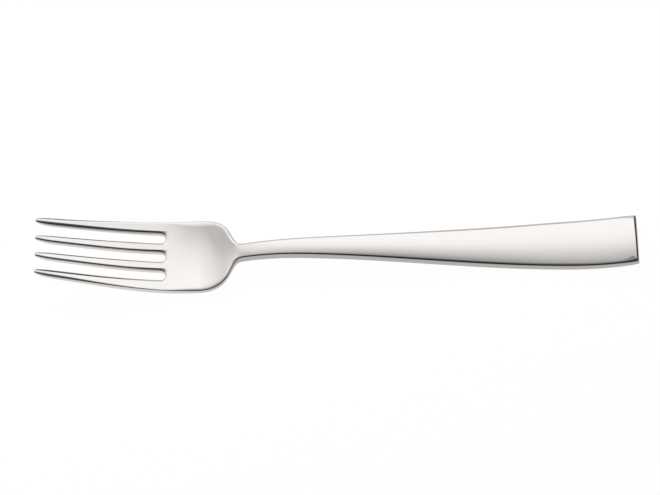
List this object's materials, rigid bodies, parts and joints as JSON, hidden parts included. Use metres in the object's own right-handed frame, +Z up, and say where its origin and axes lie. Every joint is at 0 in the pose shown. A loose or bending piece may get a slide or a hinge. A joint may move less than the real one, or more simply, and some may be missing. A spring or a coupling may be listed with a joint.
{
  "type": "dessert fork",
  "caption": "Polished stainless steel dessert fork with long slim tines, a shallow dished head, a narrow neck and a flared flat handle with an upswept end.",
  "frame": {"origin": "on the table under the middle of the fork's box, at the height of the flat under the handle", "axes": "+X along the fork from the tine tips to the handle end, +Y across it, +Z up from the table"},
  "size_m": [0.185, 0.0242, 0.0142],
  "materials": {
    "polished_steel": "polished"
  },
  "bodies": {
    "root": {"tine_1": "polished_steel", "tine_2": "polished_steel", "tine_3": "polished_steel", "tine_4": "polished_steel", "head": "polished_steel", "neck": "polished_steel", "handle": "polished_steel"}
  },
  "joints": []
}
